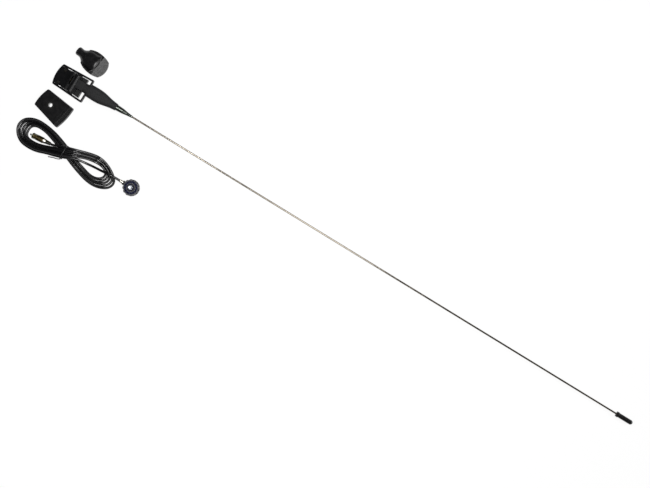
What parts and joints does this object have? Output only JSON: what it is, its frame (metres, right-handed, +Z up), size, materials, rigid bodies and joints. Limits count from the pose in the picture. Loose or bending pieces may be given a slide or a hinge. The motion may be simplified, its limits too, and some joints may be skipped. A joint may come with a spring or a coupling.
{
  "type": "car roof antenna",
  "caption": "Car roof antenna laid out as supplied: hinged whip and foot, roof pad, cover cap, and a coiled coaxial lead with its roof fitting and plug.",
  "frame": {"origin": "axis of the foot's threaded roof socket, at the plane that every piece lies on", "axes": "+X along the whip towards its tip cap, +Z up from the plane the pieces lie on, +Y towards the cover cap"},
  "size_m": [1.0884, 0.19, 0.0275],
  "materials": {
    "foot_black_gloss": "moulded, polished black",
    "block_black_enamel": "black enamel on a casting",
    "pad_black_rubber": "smooth dense black rubber",
    "cover_black_rubber": "smooth black rubber, soft sheen",
    "cone_grey_plastic": "matt dark grey moulding",
    "tip_black_plastic": "satin black",
    "fitting_black_plastic": "polished blue-black",
    "whip_steel": "drawn stainless steel",
    "ferrule_chrome": "polished plating",
    "blued_steel": "blued spring steel",
    "zinc_steel": "zinc plated steel",
    "dark_steel": "oiled steel",
    "bush_brass": "turned brass",
    "bush_nickel": "bright nickel",
    "plug_dull_brass": "dull olive brass",
    "insulator_pale": "pale green-white moulding",
    "insulator_black": "matt black",
    "sleeve_olive_vinyl": "aged olive vinyl",
    "lead_black_vinyl": "smooth black vinyl",
    "tie_black_paper": "coated wire"
  },
  "bodies": {
    "foot": {"foot_frame": "foot_black_gloss", "hinge_block": "block_black_enamel", "roof_pad": "pad_black_rubber", "cover_cap": "cover_black_rubber", "fitting_body": "fitting_black_plastic", "claw_ring": "blued_steel", "stud_nut": "blued_steel", "contact_stud": "zinc_steel", "hinge_screw": "dark_steel", "lock_washer": "dark_steel", "hinge_nut": "dark_steel", "block_screws": "dark_steel", "roof_socket": "bush_brass", "contact_spring": "bush_brass", "pad_bush": "dark_steel", "plug_pin": "bush_nickel", "plug_crimp": "bush_nickel", "lead_gland": "bush_nickel", "plug_shell": "plug_dull_brass", "plug_insulator": "insulator_pale", "stud_insulator": "insulator_black", "hinge_washer": "insulator_black", "plug_sleeve": "sleeve_olive_vinyl", "lead_run": "lead_black_vinyl", "plug_run": "lead_black_vinyl", "lead_hank": "lead_black_vinyl", "twist_tie": "tie_black_paper"},
    "mast": {"mast_knuckle": "block_black_enamel", "mast_foot": "cone_grey_plastic", "eye_bush": "bush_brass", "ferrule": "ferrule_chrome", "whip_rod": "whip_steel", "tip_cap": "tip_black_plastic"}
  },
  "joints": [
    {"name": "mast_tilt", "type": "hinge", "parent": "foot", "child": "mast", "pos_m": [0.0145, 0, 0.0125], "axis": [0, -1, 0], "range_deg": [0, 90]}
  ]
}
